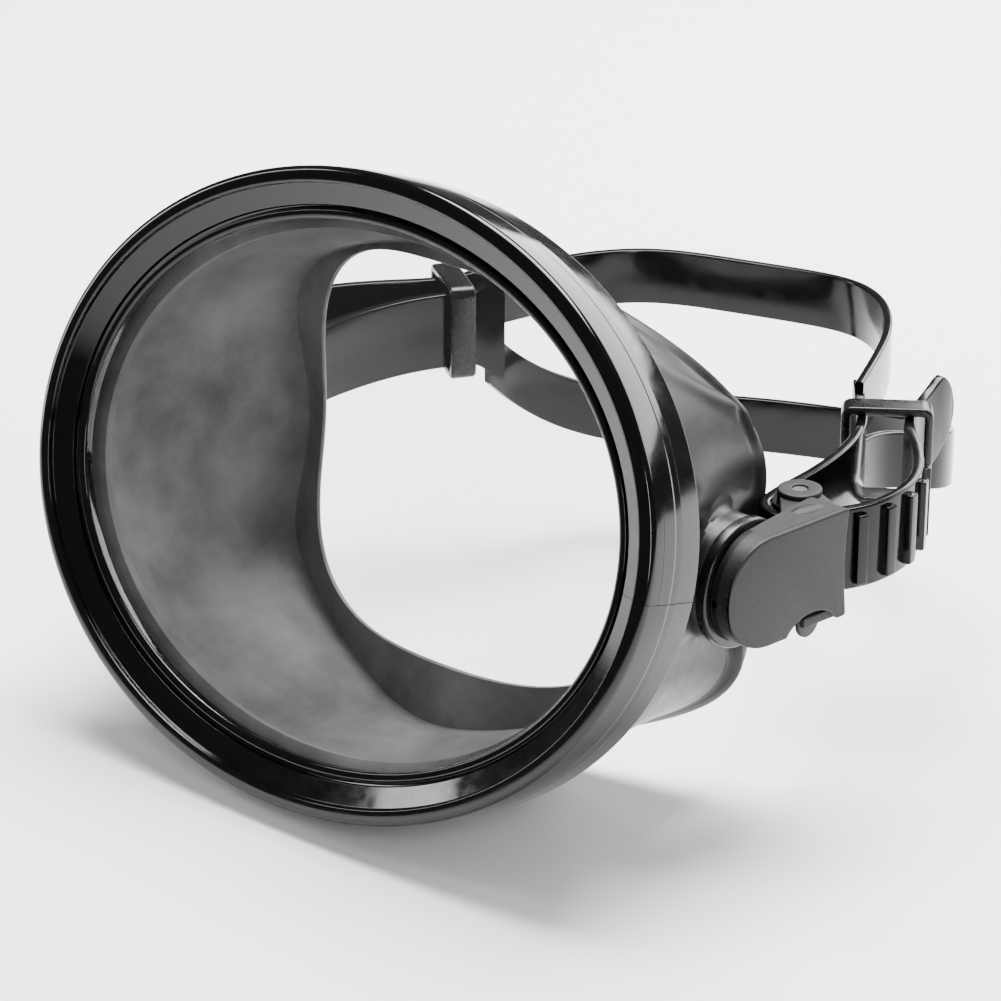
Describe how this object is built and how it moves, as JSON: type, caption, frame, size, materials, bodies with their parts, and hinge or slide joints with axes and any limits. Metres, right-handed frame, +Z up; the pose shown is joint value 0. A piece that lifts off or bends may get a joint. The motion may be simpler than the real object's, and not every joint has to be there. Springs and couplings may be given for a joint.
{
  "type": "diving mask",
  "caption": "Oval single-lens diving mask with a clamped two-piece frame, silicone skirt and split silicone strap on swivelling quick-adjust buckles.",
  "frame": {"origin": "on the surface that the mask rests on, under the middle of its box: midway between the two buckles, and midway between the front rim and the back of the strap", "axes": "+Z up; the lens looks along -Y, leaned back 18 degrees as the mask rests on its rim and chin; +X is towards the right-hand side of someone who looks along +Y at the lens"},
  "size_m": [0.1756, 0.189, 0.1291],
  "materials": {
    "frame": "glossy moulded black plastic",
    "lens": "clear tempered glass, polished",
    "skirt": "semi-gloss moulded black silicone",
    "strap": "glossy moulded black silicone",
    "buckle": "fine matt textured black nylon",
    "roller": "smooth black acetal",
    "keeper": "satin black moulded plastic",
    "pins": "plain stainless steel",
    "springs": "stainless spring steel"
  },
  "bodies": {
    "mask": {"lens": "lens", "frame_upper": "frame", "frame_lower": "frame", "frame_key_right": "frame", "frame_key_left": "frame", "skirt": "skirt", "buckle_base_right": "buckle", "buckle_base_left": "buckle", "swivel_pin_right": "pins", "swivel_pin_left": "pins"},
    "strap_and_buckles": {"strap": "strap", "buckle_body_right": "buckle", "roller_pin_right": "pins", "lever_pin_right": "pins", "lever_spring_right": "springs", "buckle_body_left": "buckle", "roller_pin_left": "pins", "lever_pin_left": "pins", "lever_spring_left": "springs"},
    "roller_body_right": {"roller_right": "roller"},
    "lever_body_right": {"release_lever_right": "buckle"},
    "keeper_body_right": {"keeper_right": "keeper"},
    "roller_body_left": {"roller_left": "roller"},
    "lever_body_left": {"release_lever_left": "buckle"},
    "keeper_body_left": {"keeper_left": "keeper"}
  },
  "joints": [
    {"name": "strap_swivel", "type": "hinge", "parent": "mask", "child": "strap_and_buckles", "pos_m": [0, -0.03514, 0.05607], "axis": [1, 0, 0], "range_deg": [-60, 42]},
    {"name": "roller_turn_right", "type": "hinge", "parent": "strap_and_buckles", "child": "roller_body_right", "pos_m": [0.0732, -0.01264, 0.05607], "axis": [0, 0, 1], "continuous": true},
    {"name": "lever_press_right", "type": "hinge", "parent": "strap_and_buckles", "child": "lever_body_right", "pos_m": [0.0807, -0.02574, 0.05607], "axis": [0, 0, -1], "range_deg": [0, 4], "stiffness_Nm_per_rad": 0.15, "springref_deg": -11.46},
    {"name": "keeper_slide_right", "type": "slide", "parent": "strap_and_buckles", "child": "keeper_body_right", "axis": [-0.5735, 0.8192, 0], "range_m": [-0.0015, 0.0015]},
    {"name": "roller_turn_left", "type": "hinge", "parent": "strap_and_buckles", "child": "roller_body_left", "pos_m": [-0.0732, -0.01264, 0.05607], "axis": [0, 0, 1], "continuous": true},
    {"name": "lever_press_left", "type": "hinge", "parent": "strap_and_buckles", "child": "lever_body_left", "pos_m": [-0.0807, -0.02574, 0.05607], "axis": [0, 0, 1], "range_deg": [0, 4], "stiffness_Nm_per_rad": 0.15, "springref_deg": -11.46},
    {"name": "keeper_slide_left", "type": "slide", "parent": "strap_and_buckles", "child": "keeper_body_left", "axis": [0.5735, 0.8192, 0], "range_m": [-0.0015, 0.0015]}
  ]
}
